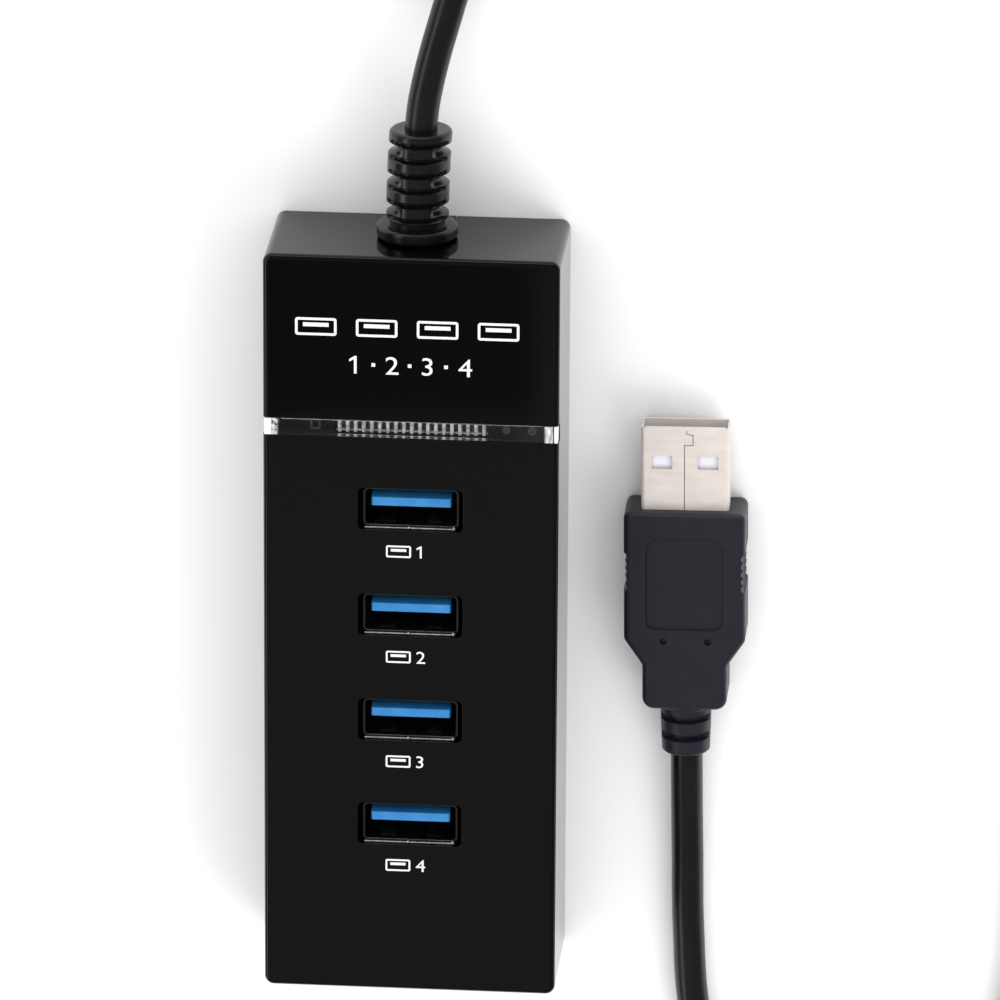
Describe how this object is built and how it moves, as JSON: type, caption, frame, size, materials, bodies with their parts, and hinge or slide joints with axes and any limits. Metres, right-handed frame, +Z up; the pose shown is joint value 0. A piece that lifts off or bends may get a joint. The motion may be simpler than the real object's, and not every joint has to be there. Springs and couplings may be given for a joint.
{
  "type": "usb hub",
  "caption": "Slim desk hub with a row of socket openings, a clear light bar across the front and a short corded plug.",
  "frame": {"origin": "centre of the case's underside, on the surface that the hub lies on", "axes": "+X across the case, +Y along the case towards the cord, +Z up out of the ports"},
  "size_m": [0.1064, 0.1955, 0.019],
  "materials": {
    "case": "high-gloss black",
    "clear_bar": "clear acrylic",
    "light_guide": "frosted clear",
    "port_metal": "tin-plated sheet",
    "port_blue": "satin blue",
    "contact": "gold-plated",
    "board": "solder mask",
    "chip": "moulded epoxy",
    "can": "satin",
    "led": "phosphor yellow",
    "screw": "zinc-plated",
    "wire_red": "satin",
    "wire_black": "satin",
    "wire_white": "satin",
    "wire_green": "satin",
    "wire_blue": "satin",
    "wire_orange": "satin",
    "cord": "semi-gloss black",
    "plug_body": "fine matt",
    "plug_metal": "bright nickel",
    "plug_white": "satin white"
  },
  "bodies": {
    "root": {"back_cover": "case", "board_screw_1": "screw", "board_screw_2": "screw", "board_screw_3": "screw", "board_screw_4": "screw", "capacitor_1": "can", "capacitor_2": "can", "circuit_board": "board", "conductor_black": "wire_black", "conductor_blue": "wire_blue", "conductor_green": "wire_green", "conductor_orange": "wire_orange", "conductor_red": "wire_red", "conductor_white": "wire_white", "cord": "cord", "cord_boot": "cord", "crystal": "can", "hub_controller": "chip", "led_1": "led", "led_2": "led", "light_bar": "clear_bar", "light_guide": "light_guide", "plug_contact_1": "contact", "plug_contact_2": "contact", "plug_contact_3": "contact", "plug_contact_4": "contact", "plug_insulator": "plug_white", "plug_overmold": "plug_body", "plug_shell": "plug_metal", "port_1_contact_1": "contact", "port_1_contact_2": "contact", "port_1_contact_3": "contact", "port_1_contact_4": "contact", "port_2_contact_1": "contact", "port_2_contact_2": "contact", "port_2_contact_3": "contact", "port_2_contact_4": "contact", "port_3_contact_1": "contact", "port_3_contact_2": "contact", "port_3_contact_3": "contact", "port_3_contact_4": "contact", "port_4_contact_1": "contact", "port_4_contact_2": "contact", "port_4_contact_3": "contact", "port_4_contact_4": "contact", "port_shell_1": "port_metal", "port_shell_2": "port_metal", "port_shell_3": "port_metal", "port_shell_4": "port_metal", "port_tongue_1": "port_blue", "port_tongue_2": "port_blue", "port_tongue_3": "port_blue", "port_tongue_4": "port_blue", "top_shell": "case", "voltage_regulator": "chip"}
  },
  "joints": []
}
